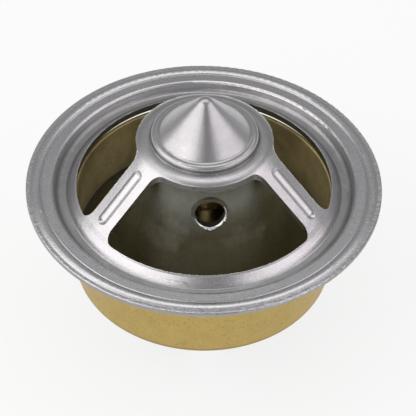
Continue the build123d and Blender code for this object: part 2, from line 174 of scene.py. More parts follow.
class FrameLook(bpy.types.PropertyGroup):
    """Pressed steel of the flange frame"""

    steel: colour("Steel", "Bare satin steel", (0.66, 0.65, 0.67))
    stain: colour("Stain", "Duller patches of the steel", (0.52, 0.515, 0.53))
    # Colour of the painted shade in the valley and the pressed corners
    painted_shade: colour("Painted Shade", "Grime in the pressed corners", (0.22, 0.22, 0.22))
    sheared_edge: colour("Sheared Edge", "Rough cut edge of the rim", (0.30, 0.29, 0.29))
    roughness: share("Roughness", "How matt the steel is", 0.28)
    ring_spacing: length("Ring Spacing", "Distance between drawing rings round the axis", 0.22)
    ring_depth: length("Ring Depth", "Depth of the drawing rings", 0.004)
    grain_depth: length("Grain Depth", "Depth of the fine grain", 0.012)
    dent_depth: length("Dent Depth", "Depth of the soft unevenness of the sheet", 0.016)
    nick_size: length("Nick Size", "Size of the nicks near the rim's edge", 0.6)
    nick_depth: length("Nick Depth", "Depth of the nicks near the rim's edge", 0.03)


class BellLook(bpy.types.PropertyGroup):
    """Drawn steel of the deflector bell"""

    steel: colour("Steel", "Bare drawn steel", (0.50, 0.51, 0.50))
    stain: colour("Stain", "Oil stain on the steel", (0.27, 0.27, 0.19))
    roughness: share("Roughness", "How matt the steel is", 0.36)
    draw_spacing: length("Draw Spacing", "Length over which a draw line changes", 9.0)
    draw_depth: length("Draw Depth", "Depth of the draw lines down the wall", 0.003)
    clean: colour("Clean", "Places without the stain", (0.60, 0.63, 0.65))
    # Colour of the painted shade at the shoulder under the hub, low on the wall and over the bleed hole
    shade: colour("Oil", "Dark oil at the shoulder and low on the wall", (0.10, 0.10, 0.07))


class SleeveLook(bpy.types.PropertyGroup):
    """Drawn brass of the valve sleeve"""

    brass: colour("Brass", "Satin brass outside", (0.57, 0.42, 0.138))
    stain: colour("Stain", "Darker patches outside", (0.48, 0.35, 0.115))
    bore: colour("Bore", "Dull brass inside", (0.74, 0.60, 0.31))
    clean: colour("Clean Bore", "Lighter places in the bore", (1.0, 0.84, 0.48))
    film: share("Bore Film", "How much the film in the bore hides the bare metal", 0.55)
    roughness: share("Roughness", "How matt the brass is", 0.40)
    speck_spacing: length("Speck Spacing", "Distance between specks", 0.55)


class WorksLook(bpy.types.PropertyGroup):
    """Element, spring and seal"""

    copper: colour("Copper", "Spun copper cup", (0.72, 0.38, 0.24))
    guide: colour("Guide Brass", "Turned brass guide", (0.72, 0.55, 0.25))
    piston: colour("Piston Steel", "Ground steel pin", (0.62, 0.62, 0.63))
    spring: colour("Spring Steel", "Oiled spring wire", (0.30, 0.30, 0.31))
    rubber: colour("Rubber", "Black rubber", (0.018, 0.018, 0.019))
    plastic: colour("Disc Plastic", "White bearing plastic", (0.72, 0.71, 0.67))
    wax: colour("Wax", "Copper-filled wax", (0.42, 0.20, 0.10))


class BurrSizes(bpy.types.PropertyGroup):
    """Burrs along the punched windows and the torn lip of the bleed hole"""

    leg_count: IntProperty(name="Legs", description="Legs between the windows", default=3, min=2, max=6)
    leg_start: angle("First Leg", "Direction of the first leg", 90)
    leg_width: length("Leg Width", "Width of each leg", 4.8)
    window_out_r: length("Window Outer Radius", "Outer edge of each window", 19.4)
    window_in_r: length("Window Inner Radius", "Inner edge of each window", 10.2)
    out_corner: length("Outer Corner", "Corner radius at the outer edge", 1.3)
    in_corner: length("Inner Corner", "Corner radius at the inner edge", 2.0)
    shoulder_r: length("Shoulder Radius", "Where the legs meet the hub", 9.7)
    shoulder_z: length("Shoulder Height", "Height of the hub's flat ring", 10.0)
    valley_r: length("Valley Radius", "Where the legs meet the valley's floor", 20.7)
    valley_z: length("Valley Height", "Height of the valley's floor", -0.65)
    bead: length("Bead", "Radius of the burr left by the punch", 0.045)
    hole_angle: angle("Hole Direction", "Direction of the bleed hole", 271.5)
    hole_z: length("Hole Height", "Height of the bleed hole's centre", 4.6)
    hole_r: length("Hole Radius", "Radius of the bleed hole", 2.25)
    wall_r: length("Bell Radius", "Radius of the bell's wall at its shoulder", 9.8)
    wall_top_z: length("Bell Shoulder", "Height of the bell's shoulder", 9.15)
    wall_tilt: angle("Wall Tilt", "Lean of the bell's wall", 9)
    lip_height: length("Lip Height", "How far the drawn lip stands off the wall", 0.40)
    tear: length("Tear", "Tallest tooth of the torn lip", 0.42)
    tear_angle: angle("Tear Direction", "Direction of the tear round the hole, from its right", -65)


class SpringSizes(bpy.types.PropertyGroup):
    """Coil spring between the bridge and the spider"""

    coil_r: length("Coil Radius", "From the axis to the middle of the wire", 8.25)
    wire_r: length("Wire Radius", "Radius of the wire", 0.8)
    bottom_z: length("Bottom", "Height of the lower ground end", -25.25)
    top_z: length("Top", "Height of the upper ground end", -8.05)
    active_turns: FloatProperty(name="Active Turns", description="Turns that work", default=3.0, min=1)
    end_gap: length("End Gap", "Gap between the closed turns at each end", 0.05)
    grind: length("Grind", "How much of the wire is ground off at each end", 0.4)
    travel_keep: share("Squeezed Share", "Length at full travel as a share of that at rest", 0.535)


class StudioSettings(bpy.types.PropertyGroup):
    """Floor, softboxes, room and camera"""

    floor: colour("Floor", "Pale floor", (0.93, 0.93, 0.93))
    room: share("Room Light", "Level of the soft light from all round", 0.33)
    left_light: FloatProperty(name="Left Softbox", description="Power", default=1.9, unit="POWER", min=0)
    right_light: FloatProperty(name="Right Softbox", description="Power", default=0.75, unit="POWER", min=0)
    top_light: FloatProperty(name="Top Panel", description="Power", default=0.82, unit="POWER", min=0)
    softbox_distance: length("Softbox Distance", "Distance of each light from the part", 500)
    camera_place: FloatVectorProperty(
        name="Camera", description="Place of the camera", subtype="TRANSLATION", unit="LENGTH",
        size=3, default=(-13.052 * MM, -213.609 * MM, 207.929 * MM), precision=5,
    )
    camera_turn: FloatVectorProperty(
        name="Camera Turn", description="Turn of the camera", subtype="EULER", unit="ROTATION",
        size=3, default=(math.radians(45.159), math.radians(-0.790), math.radians(-2.893)),
    )
    lens: FloatProperty(
        name="Lens", description="Focal length on a 36 mm sensor", default=169.88, unit="CAMERA",
    )


def group_of(kind, name):
    """Settings of one kind, described by that kind's own docstring."""
    return PointerProperty(type=kind, name=name, description=kind.__doc__)


class ThermostatSettings(bpy.types.PropertyGroup):
    """All settings of the thermostat"""

    frame: group_of(FrameLook, "Frame")
    bell: group_of(BellLook, "Bell")
    sleeve: group_of(SleeveLook, "Sleeve")
    works: group_of(WorksLook, "Works")
    burrs: group_of(BurrSizes, "Burrs")
    spring: group_of(SpringSizes, "Spring")
    studio: group_of(StudioSettings, "Studio")


# Node building

def pick(sockets, name):
    """The socket with that identifier, or the enabled one with that name."""
    for socket in sockets:
        if socket.identifier == name:
            return socket
    return next(socket for socket in sockets if socket.name == name and socket.enabled)


class Nodes:
    """Adds nodes to one tree, for effects that follow one place."""

    def __init__(self, tree, place=None, material=None):
        self.tree = tree
        self.place = place
        self.material = material

    def link(self, value, socket):
        """Links a socket's value to another socket."""
        self.tree.links.new(value, socket)

    def put(self, kind, inputs=None, **settings):
        """Adds a node with its settings, then gives each named input a value or a link."""
        node = self.tree.nodes.new(kind)
        for name, value in settings.items():
            setattr(node, name, value)
        for name, value in (inputs or {}).items():
            socket = node.inputs[name] if isinstance(name, int) else pick(node.inputs, name)
            if isinstance(value, bpy.types.NodeSocket):
                self.link(value, socket)
            else:
                socket.default_value = value
        return node

    def calc(self, operation, *values):
        """Math node on one to three values, and its result."""
        inputs = dict(enumerate(values))
        return self.put("ShaderNodeMath", inputs, operation=operation).outputs[0]

    plus = partialmethod(calc, "ADD")
    minus = partialmethod(calc, "SUBTRACT")
    times = partialmethod(calc, "MULTIPLY")
    over = partialmethod(calc, "DIVIDE")
    most = partialmethod(calc, "MAXIMUM")

    def total(self, start, *terms):
        """Start plus each value times its amount."""
        for value, amount in terms:
            start = self.calc("MULTIPLY_ADD", value, amount, start)
        return start

    def vector_calc(self, operation, *values, output="Vector"):
        """Vector maths node on one to three vectors, and its result."""
        inputs = dict(enumerate(values))
        return pick(self.put("ShaderNodeVectorMath", inputs, operation=operation).outputs, output)

    def remap(self, value, low, high, to_low=0.0, to_high=1.0):
        """The value's range low to high, mapped to another range and clamped."""
        inputs = {"Value": value, "From Min": low, "From Max": high, "To Min": to_low, "To Max": to_high}
        return self.put("ShaderNodeMapRange", inputs).outputs["Result"]

    def blend(self, factor, first, second):
        """Colour between two colours, by a factor. Each is a socket or three numbers."""
        pair = [each if isinstance(each, bpy.types.NodeSocket) else (*each, 1.0) for each in (first, second)]
        inputs = {"Factor_Float": factor, "A_Color": pair[0], "B_Color": pair[1]}
        return pick(self.put("ShaderNodeMix", inputs, data_type="RGBA").outputs, "Result_Color")

    def tint(self, base, over, mask, amount):
        """Base colour with another over it, by an amount where the mask is 1."""
        return self.blend(self.times(mask, amount), base, over)

    def height(self):
        """Height of the place."""
        return self.put("ShaderNodeSeparateXYZ", {"Vector": self.place}).outputs["Z"]

    def radius(self):
        """Distance of the place from the centre axis."""
        flat = self.vector_calc("MULTIPLY", self.place, (1, 1, 0))
        return self.vector_calc("LENGTH", flat, output="Value")

    def ring_mask(self, value, start, end, fade):
        """1 where a length lies between two given in mm, and 0 beyond a fade on each side."""
        rise = self.remap(value, (start - fade) * MM, start * MM)
        fall = self.remap(value, (end + fade) * MM, end * MM)
        return self.times(rise, fall)

    def spots(self, points, waver=0.2 * MM):
        """1 in the middle of each (x, y, z, radius), given in mm, and 0 beyond a wavering edge."""
        scale = 0.5 / waver
        # Noise of a half leaves a place where it is
        inputs = {"Vector": self.place, "Scale": scale, "Detail": 4.0}
        cloud = self.put("ShaderNodeTexNoise", inputs).outputs["Color"]
        shift = self.vector_calc("MULTIPLY_ADD", cloud, (4 * waver,) * 3, (-2 * waver,) * 3)
        wavering = self.vector_calc("ADD", self.place, shift)
        found = None
        for x, y, z, reach in points:
            off = self.vector_calc("SUBTRACT", wavering, (x * MM, y * MM, z * MM))
            near = self.remap(self.vector_calc("LENGTH", off, output="Value"), reach * MM, 0.4 * reach * MM)
            found = near if found is None else self.most(found, near)
        return found

    def effect(self, name, **values):
        """Places a shared effect in a material and gives its output."""
        node = self.tree.nodes.new("ShaderNodeGroup")
        node.node_tree = bpy.data.node_groups.get(name) or GROUP_MAKERS[name]()
        self.link(self.place, node.inputs["Vector"])
        for socket, value in values.items():
            node.inputs[socket.replace("_", " ").title()].default_value = value
        return node.outputs[0]

    def marks(self, changes, spacing, detail=3.0):
        """Marks round the axis: how much they change in one round, their spacing, and their detail."""
        return self.effect("Marks Round Axis", changes_round=changes, spacing=spacing, detail=detail)

    def blotches(self, size, contrast):
        """Soft patches, with their size in mm."""
        return self.effect("Patches", size=size * MM, contrast=contrast)

    def coat(self, base, rough, *bumps, **others):
        """Links the colour, roughness, other sockets, and bumps in layers, each (height, depth)."""
        normal = {}
        for height, depth in bumps:
            inputs = {"Strength": 1.0, "Distance": depth, "Height": height, **normal}
            normal = {"Normal": self.put("ShaderNodeBump", inputs).outputs["Normal"]}
        for socket, value in {"Base Color": base, "Roughness": rough, **normal, **others}.items():
            self.link(value, self.tree.nodes["Principled BSDF"].inputs[socket])
        return self.material


def new_group(name, kind, inputs, output, output_kind):
    """Group with inputs, each given as a default number or by its kind, and with one output.

    Gives its builder, whose place is the first input, its input sockets and its output socket.
    """
    group = bpy.data.node_groups.new(name, kind + "NodeTree")
    for socket, start in inputs.items():
        number = isinstance(start, float)
        sort = "NodeSocketFloat" if number else "NodeSocket" + start
        made = group.interface.new_socket(name=socket, in_out="INPUT", socket_type=sort)
        if number:
            made.default_value = start
    group.interface.new_socket(name=output, in_out="OUTPUT", socket_type="NodeSocket" + output_kind)
    given = group.nodes.new("NodeGroupInput").outputs
    return Nodes(group, given[0]), given, group.nodes.new("NodeGroupOutput").inputs[output]


def shader_group(name, output, **numbers):
    """Shader group that makes one number from a vector and some numbers."""
    inputs = {"Vector": "Vector"}
    inputs.update((number.replace("_", " ").title(), given) for number, given in numbers.items())
    return new_group(name, "Shader", inputs, output, "Float")


def marks_round_axis():
    """Marks that run round the axis or along it, as drawing and turning leave them."""
    n, given, result = shader_group(
        "Marks Round Axis", "Marks", changes_round=6.0, spacing=0.3 * MM, detail=3.0
    )
    flat = n.vector_calc("MULTIPLY", n.place, (1, 1, 0))
    radius = n.vector_calc("LENGTH", flat, output="Value")
    across = n.over(radius, given["Spacing"])
    height = n.height()
    direction = n.vector_calc("NORMALIZE", flat)
    inputs = {0: direction, "Scale": given["Changes Round"]}
    rounds = n.put("ShaderNodeVectorMath", inputs, operation="SCALE").outputs["Vector"]
    lifted = n.put("ShaderNodeCombineXYZ", {"Z": across}).outputs["Vector"]
    texture = n.put(
        "ShaderNodeTexNoise",
        {
            "Vector": n.vector_calc("ADD", rounds, lifted),
            "W": n.over(height, given["Spacing"]),
            "Scale": 1.0,
            "Detail": given["Detail"],
            "Roughness": 0.6,
        },
        noise_dimensions="4D",
    )
    n.link(texture.outputs["Fac"], result)
    return n.tree


def patches():
    """Soft patches of stain or dullness."""
    n, given, result = shader_group("Patches", "Patches", size=4 * MM, contrast=1.5)
    scale = n.over(1.0, given["Size"])
    texture = n.put(
        "ShaderNodeTexNoise",
        {"Vector": n.place, "Scale": scale, "Detail": 4.0, "Roughness": 0.55},
    )
    centred = n.minus(texture.outputs["Fac"], 0.5)
    strong = n.total(0.5, (centred, given["Contrast"]))
    clamped = n.put("ShaderNodeClamp", {"Value": strong}).outputs["Result"]
    n.link(clamped, result)
    return n.tree


def specks():
    """Small round specks and pits, of which only some are present."""
    n, given, result = shader_group("Specks", "Specks", spacing=0.6 * MM, size=0.25, share=0.4)
    scale = n.over(1.0, given["Spacing"])
    cells = n.put("ShaderNodeTexVoronoi", {"Vector": n.place, "Scale": scale})
    dot = n.remap(cells.outputs["Distance"], given["Size"], 0.0)
    chance = n.put("ShaderNodeSeparateColor", {"Color": cells.outputs["Color"]}).outputs["Red"]
    present = n.calc("LESS_THAN", chance, given["Share"])
    n.link(n.times(dot, present), result)
    return n.tree


def worn_edges_and_sheen():
    """Sharp edges worn bright by handling and lightened also as painted highlights along them, broken up a
    little.
    """
    n, given, result = shader_group("Worn Edges And Sheen", "Edges", width=0.12 * MM, breaks=0.8 * MM)
    rounded = n.put("ShaderNodeBevel", {"Radius": given["Width"]}, samples=4).outputs["Normal"]
    facing = n.put("ShaderNodeNewGeometry").outputs["Normal"]
    same = n.vector_calc("DOT_PRODUCT", rounded, facing, output="Value")
    edge = n.remap(same, 0.99, 0.80)
    scale = n.over(1.0, given["Breaks"])
    texture = n.put("ShaderNodeTexNoise", {"Vector": n.place, "Scale": scale})
    broken = n.remap(texture.outputs["Fac"], 0.35, 0.6, 0.35, 1.0)
    n.link(n.times(edge, broken), result)
    return n.tree


def hair_scratches():
    """Long fine scratches from handling, here and there."""
    n, given, result = shader_group("Hair Scratches", "Scratches", length=6 * MM, slant=0.6)
    turned = n.put(
        "ShaderNodeVectorRotate",
        {"Vector": n.place, "Angle": given["Slant"]}, rotation_type="Z_AXIS",
    ).outputs["Vector"]
    stretched = n.vector_calc("MULTIPLY", turned, (1.0, 14.0, 14.0))
    scale = n.over(1.0, given["Length"])
    lines = n.put("ShaderNodeTexNoise", {"Vector": stretched, "Scale": scale, "Detail": 1.0})
    off_centre = n.calc("ABSOLUTE", n.minus(lines.outputs["Fac"], 0.5))
    thin = n.remap(off_centre, 0.010, 0.0)
    where = n.put("ShaderNodeTexNoise", {"Vector": n.place, "Scale": scale})
    gated = n.times(thin, n.remap(where.outputs["Fac"], 0.52, 0.60))
    n.link(gated, result)
    return n.tree


GROUP_MAKERS = {
    "Marks Round Axis": marks_round_axis,
    "Patches": patches,
    "Specks": specks,
    "Worn Edges And Sheen": worn_edges_and_sheen,
    "Hair Scratches": hair_scratches,
}


def new_material(name, metallic=0.0):
    """Builder of a node material with one Principled BSDF, placed by its object coordinates."""
    material = bpy.data.materials.new(name)
    material.use_nodes = True
    tree = material.node_tree
    tree.nodes["Principled BSDF"].inputs["Metallic"].default_value = metallic
    return Nodes(tree, tree.nodes.new("ShaderNodeTexCoord").outputs["Object"], material)


def pressed_crease(n, radius):
    """Height in mm that sharpens the soft bend between the legs' slope and the valley's floor."""
    across = n.over(radius, MM)
    floor_run = n.put("ShaderNodeClamp", {
        "Value": n.minus(BEND_END, across), "Min": 0.0, "Max": BEND_END - BEND_START,
    }).outputs["Result"]
    squared = n.times(floor_run, floor_run)
    drop = n.calc("SQRT", n.minus(BEND_R * BEND_R, squared))
    curve = n.minus(BEND_R, drop)
    slope_run = n.most(n.minus(BEND_START, across), 0.0)
    soft = n.total(curve, (slope_run, LEG_FALL))
    wanted = n.times(n.minus(CREASE, across), LEG_FALL)
    sharp = n.calc("SMOOTH_MAX", wanted, 0.0, CREASE_SOFTNESS)
    near = n.remap(across, *CREASE_FADE)
    return n.times(n.minus(sharp, soft), near)


def add_object(name, data):
    """New object in the scene."""
    made = bpy.data.objects.new(name, data)
    bpy.context.scene.collection.objects.link(made)
    return made


def give(material, *nodes):
    """Assigns the material to CAD nodes, in place of what they came with."""
    for node in nodes:
        mesh = frame["nodes"][node].data
        mesh.materials.clear()
        mesh.materials.append(material)


# Metals

def satin_steel(name, look):
    """Satin pressed steel with drawing rings, painted shade in its valley and pressed corners, a darker hub,
    nicks, scratches, painted glints, and worn edges lightened also as painted highlights.
    """
    n = new_material(name, 1.0)
    rings = n.marks(3.0, look.ring_spacing)
    bands = n.marks(1.2, 1.3 * MM, detail=1.0)
    dull = n.blotches(3.5, 1.6)
    dents = n.blotches(1.1, 1.0)
    grain = n.blotches(0.22, 1.3)
    pits = n.effect("Specks", spacing=1.1 * MM, size=0.10, share=0.35)
    edges = n.effect("Worn Edges And Sheen")
    scratches = n.effect("Hair Scratches")
    crossing = n.effect("Hair Scratches", slant=-0.7, length=9 * MM)
    height = n.height()
    radius = n.radius()

    near_rim = n.remap(radius, FLANGE_R - 1.0 * MM, FLANGE_R - 0.3 * MM)
    nicks = n.effect("Patches", size=look.nick_size, contrast=3.0)
    rim_nicks = n.times(nicks, near_rim)

    ring_shade = n.total(n.times(rings, 0.4), (bands, 0.8))
    stain = n.times(n.plus(ring_shade, dull), 0.5)
    base = n.blend(stain, look.steel, look.stain)
    base = n.tint(base, (0.40, 0.40, 0.41), grain, 0.30)
    pitted = n.tint(base, (0.20, 0.20, 0.19), pits, 0.6)

    # Painted shade: darker in the valley, at the foot of its outer wall and at the foot of the hub's step,
    # and evenly darker over the hub
    valley = n.ring_mask(radius, *VALLEY_RING)
    wall_foot = n.ring_mask(radius, *WALL_FOOT_RING)
    at_height = n.ring_mask(height, *STEP_FOOT_HEIGHT)
    step_foot = n.times(n.ring_mask(radius, *STEP_FOOT_RING), at_height)
    corners = n.most(n.times(wall_foot, 0.65), step_foot)
    hub = n.ring_mask(radius, *HUB_RING)
    shade_places = n.most(n.times(valley, 0.60), corners)
    shade_places = n.most(n.times(hub, 0.27), shade_places)
    patchy = n.remap(dull, 0.2, 0.8, 0.75, 1.1)
    painted_shade = n.put("ShaderNodeClamp", {"Value": n.times(shade_places, patchy)}).outputs["Result"]
    shaded_steel = n.blend(painted_shade, pitted, look.painted_shade)
    sheared = n.remap(radius, FLANGE_R - 0.10 * MM, FLANGE_R - 0.03 * MM)
    cut = n.tint(shaded_steel, look.sheared_edge, sheared, 0.8)
    # Worn edges, lightened also as painted highlights along them
    worn_and_sheen = n.tint(cut, (0.78, 0.76, 0.76), edges, 0.6)
    bright = n.times(n.most(scratches, crossing), 0.5)
    # Bright hair scratches, with painted glints on the window edges and a leg
    bright = n.most(bright, n.spots(GLINT_SPOTS))
    base = n.blend(bright, worn_and_sheen, (0.88, 0.87, 0.87))

    rough = n.total(look.roughness - 0.10, (grain, 0.20), (dull, 0.05), (painted_shade, 0.12))
    return n.coat(
        base, rough,
        (rings, look.ring_depth), (grain, look.grain_depth), (dents, look.dent_depth), (pits, 0.02 * MM),
        (rim_nicks, look.nick_depth), (pressed_crease(n, radius), MM),
    )


def plain_steel(name, look):
    """Pressed steel of the hidden pieces, with rolling grain and stains."""
    n = new_material(name, 1.0)
    dull = n.blotches(2.5, 2.0)
    grain = n.blotches(0.2, 1.4)
    edges = n.effect("Worn Edges And Sheen")
    scratches = n.effect("Hair Scratches", slant=1.1, length=4 * MM)
    base = n.blend(dull, look.steel, look.stain)
    # Worn edges, lightened also as painted highlights along them
    worn_and_sheen = n.tint(base, (0.80, 0.79, 0.80), edges, 0.7)
    bright = n.times(scratches, 0.4)
    base = n.blend(bright, worn_and_sheen, (0.85, 0.85, 0.86))
    rough = n.total(look.roughness - 0.04, (grain, 0.14))
    return n.coat(base, rough, (grain, 0.005 * MM))


def drawn_steel(name, look):
    """Oily drawn steel of the bell, mottled, with cleaner places, painted shade under the hub and low on the
    wall, and painted shade over the bleed hole's lip.
    """
    n = new_material(name, 1.0)
    streaks = n.marks(14.0, look.draw_spacing, detail=4.0)
    rings = n.marks(2.0, 0.5 * MM)
    dull = n.blotches(4, 2.2)
    grain = n.blotches(0.2, 1.4)
    edges = n.effect("Worn Edges And Sheen", width=0.10 * MM)
    mottle = n.blotches(0.9, 2.0)
    fine = n.blotches(0.3, 2.4)
    streaked = n.remap(streaks, 0.30, 0.70)
    stain = n.total(n.times(dull, 0.38), (streaked, 0.22), (fine, 0.20), (mottle, 0.30))
    base = n.blend(stain, look.steel, look.stain)
    broken = n.remap(mottle, 0.1, 0.9, 1.0, 0.3)
    clean = n.times(n.spots(BELL_CLEAN, 1.4 * MM), broken)
    base = n.blend(clean, base, look.clean)
    height = n.height()
    # Painted shade: the shoulder under the hub and the wall low down are darkened
    shoulder = n.remap(height, 5.5 * MM, 8.3 * MM, 0.0, 0.72)
    low_wall = n.remap(height, -1.5 * MM, -6.0 * MM, 0.0, 0.65)
    shade_mask = n.most(shoulder, low_wall)
    base = n.blend(shade_mask, base, look.shade)
    lip = n.vector_calc("SUBTRACT", n.place, tuple(value * MM for value in HOLE_PLACE))
    from_hole = n.vector_calc("LENGTH", lip, output="Value")
    round_hole = n.ring_mask(from_hole, 1.9, 2.75, 0.15)
    upper = n.remap(height, (HOLE_PLACE[2] - 0.9) * MM, (HOLE_PLACE[2] - 0.3) * MM)
    # Painted shade over the top of the bleed hole's lip, where it shows no highlight
    shaded = n.times(n.times(round_hole, upper), 0.75)
    kept = n.total(0.25, (round_hole, -0.25))
    # Worn edges, lightened also as painted highlights, kept faint round the bleed hole
    worn_and_sheen = n.blend(n.times(edges, kept), base, (0.62, 0.62, 0.60))
    base = n.blend(shaded, worn_and_sheen, look.shade)
    rough = n.total(look.roughness - 0.08, (mottle, 0.14), (grain, 0.08), (shaded, 0.25))
    return n.coat(
        base, rough,
        (streaks, look.draw_depth), (mottle, 0.006 * MM), (rings, 0.002 * MM), (grain, 0.006 * MM),
    )


def satin_brass(name, look):
    """Satin brass, specked outside, dull and brown in the bore."""
    n = new_material(name)
    patch = n.blotches(2.2, 1.6)
    cloud = n.blotches(6, 2.4)
    grain = n.blotches(0.14, 1.6)
    dots = n.effect("Specks", spacing=look.speck_spacing, size=0.34, share=0.6)
    lines = n.marks(20.0, 2 * MM, detail=2.0)
    edges = n.effect("Worn Edges And Sheen")
    fine = n.blotches(0.45, 2.2)
    outside = n.blend(patch, look.brass, look.stain)
    outside = n.tint(outside, (0.38, 0.28, 0.12), fine, 0.42)
    specked = n.tint(outside, (0.26, 0.20, 0.10), dots, 0.9)
    bottom = SLEEVE_BOTTOM / MM
    low_line = n.ring_mask(n.height(), bottom + 0.55, bottom + 0.85, 0.2)
    specked = n.tint(specked, (0.28, 0.20, 0.08), low_line, 0.55)
    bore = n.blend(cloud, look.bore, (0.40, 0.32, 0.15))
    streaky = n.remap(fine, 0.1, 0.9, 0.75, 0.25)
    # Lighter patches in the bore and a darker one near its top
    lighter = n.times(n.spots(BORE_LIGHTER, 1.6 * MM), streaky)
    bore = n.blend(lighter, bore, look.clean)
    darker = n.times(n.spots(BORE_DARK, 1.6 * MM), 0.6)
    bore = n.blend(darker, bore, (0.22, 0.18, 0.08))
    radius = n.radius()
    inside = n.remap(radius, SLEEVE_R - 0.3 * SLEEVE_T, SLEEVE_R - 0.7 * SLEEVE_T)
    walls = n.blend(inside, specked, bore)
    bare = n.remap(inside, 0.0, 1.0, 1.0, 1.0 - look.film)
    # Worn edges, lightened also as painted highlights along them
    worn_and_sheen = n.tint(walls, (0.78, 0.62, 0.30), edges, 0.35)
    rough = n.total(look.roughness - 0.06, (grain, 0.12))
    return n.coat(
        worn_and_sheen, rough, (grain, 0.006 * MM), (lines, 0.006 * MM), (dots, -0.012 * MM), Metallic=bare
    )


def turned_metal(name, metal, dark, roughness, spacing=0.25 * MM, depth=0.006 * MM):
    """Turned or spun metal with fine rings round the axis."""
    n = new_material(name, 1.0)
    rings = n.marks(2.0, spacing, detail=2.0)
    dull = n.blotches(3, 2.2)
    edges = n.effect("Worn Edges And Sheen", width=0.10 * MM)
    stain = n.total(n.times(dull, 0.5), (rings, 0.35))
    base = n.blend(stain, metal, dark)
    light = tuple(min(1.0, 0.25 + 0.85 * value) for value in metal)
    # Worn edges, lightened also as painted highlights along them
    worn_and_sheen = n.tint(base, light, edges, 0.7)
    rough = n.total(roughness - 0.06, (dull, 0.12))
    return n.coat(worn_and_sheen, rough, (rings, depth))


def moulded(name, base_colour, roughness, mottle, grain_size=0.25 * MM, grain_depth=0.01 * MM):
    """Rubber, plastic or wax with a fine moulded grain."""
    n = new_material(name)
    dull = n.blotches(1.8, 2.0)
    grain = n.effect("Patches", size=grain_size, contrast=1.5)
    other = tuple(min(1.0, value * mottle + 0.01) for value in base_colour)
    base = n.blend(dull, base_colour, other)
    rough = n.total(roughness - 0.07, (grain, 0.15))
    return n.coat(base, rough, (grain, grain_depth))


def torn_metal(name):
    """Bright freshly torn metal."""
    n = new_material(name, 1.0)
    grain = n.blotches(0.12, 2.0)
    base = n.blend(grain, (0.92, 0.92, 0.92), (0.66, 0.66, 0.64))
    rough = n.total(0.18, (grain, 0.15))
    return n.coat(base, rough, (grain, 0.02 * MM))


# Burrs

def window_outline(sizes, leg_angle):
    """Closed outline of the window after one leg, seen from above, with rounded corners."""
    half = sizes.leg_width / 2
    step = 2 * math.pi / sizes.leg_count

    def on_leg(leg, along, aside):
        """Point beside a leg's middle line."""
        return Vector((
            along * math.cos(leg) - aside * math.sin(leg),
            along * math.sin(leg) + aside * math.cos(leg),
        ))

    def corner(leg, side, ring_r, bend, outward):
        """Points of one rounded corner, from the leg's edge to the ring."""
        centre_r = ring_r - bend if outward else ring_r + bend
        aside = half + bend
        centre = on_leg(leg, math.sqrt(centre_r ** 2 - aside ** 2), side * aside)
        on_edge = on_leg(leg, math.sqrt(centre_r ** 2 - aside ** 2), side * half) - centre
        on_ring = centre.normalized() * (ring_r - centre_r)
        turn = on_edge.angle_signed(on_ring)
        points = []
        for number in range(CORNER_STEPS + 1):
            part = -turn * number / CORNER_STEPS
            cos_part, sin_part = math.cos(part), math.sin(part)
            points.append(centre + Vector((
                on_edge.x * cos_part - on_edge.y * sin_part,
                on_edge.x * sin_part + on_edge.y * cos_part,
            )))
        return points

    def arc(start, end, ring_r):
        """Points of a ring between two points on it."""
        first = math.atan2(start.y, start.x)
        turn = (math.atan2(end.y, end.x) - first + math.pi) % (2 * math.pi) - math.pi
        turns = (first + turn * number / ARC_STEPS for number in range(1, ARC_STEPS))
        return [Vector((math.cos(here), math.sin(here))) * ring_r for here in turns]

    next_leg = leg_angle + step
    outer_a = corner(leg_angle, 1, sizes.window_out_r, sizes.out_corner, True)
    outer_b = corner(next_leg, -1, sizes.window_out_r, sizes.out_corner, True)[::-1]
    inner_b = corner(next_leg, -1, sizes.window_in_r, sizes.in_corner, False)
    inner_a = corner(leg_angle, 1, sizes.window_in_r, sizes.in_corner, False)[::-1]
    outer = arc(outer_a[-1], outer_b[0], sizes.window_out_r)
    inner = arc(inner_b[-1], inner_a[0], sizes.window_in_r)
    return outer_a + outer + outer_b + inner_b + inner + inner_a


def leg_height(sizes, radius):
    """Height of the frame's upper face on its sloping part."""
    slope = (sizes.valley_z - sizes.shoulder_z) / (sizes.valley_r - sizes.shoulder_r)
    return sizes.shoulder_z + (radius - sizes.shoulder_r) * slope


def finish_mesh(n, mesh, metal, result):
    """Smooth shading, real instances and the metal, which end every one of these trees."""
    smooth = n.put("GeometryNodeSetShadeSmooth", {"Geometry": mesh})
    real = n.put("GeometryNodeRealizeInstances", {"Geometry": smooth.outputs["Geometry"]})
    coated = n.put("GeometryNodeSetMaterial", {"Geometry": real.outputs["Geometry"]})
    n.link(metal, coated.inputs["Material"])
    n.link(coated.outputs["Geometry"], result)


def punched_edge_tree():
    """Geometry nodes that run an uneven burr along an outline."""
    inputs = {"Outline": "Geometry", "Bead Radius": "Float", "Bump Size": "Float", "Metal": "Material"}
    n, given, result = new_group("Punched Edge", "Geometry", inputs, "Burr", "Geometry")
    line = n.put("GeometryNodeMeshToCurve", {"Mesh": given["Outline"]})
    spacing = n.times(given["Bump Size"], 0.5)
    even = n.put("GeometryNodeResampleCurve", mode="LENGTH")
    n.link(line.outputs["Curve"], even.inputs["Curve"])
    n.link(spacing, even.inputs["Length"])
    texture = n.put("ShaderNodeTexNoise", {"Scale": n.over(0.4, given["Bump Size"]), "Detail": 2.0})
    uneven = n.remap(texture.outputs["Fac"], 0.35, 0.75, 0.25, 1.5)
    profile = n.put("GeometryNodeCurvePrimitiveCircle", {"Resolution": BEAD_SIDES})
    n.link(given["Bead Radius"], profile.inputs["Radius"])
    bead = n.put(
        "GeometryNodeCurveToMesh",
        {"Curve": even.outputs["Curve"], "Profile Curve": profile.outputs["Curve"], "Scale": uneven},
    )
    finish_mesh(n, bead.outputs["Mesh"], given["Metal"], result)
    return n.tree


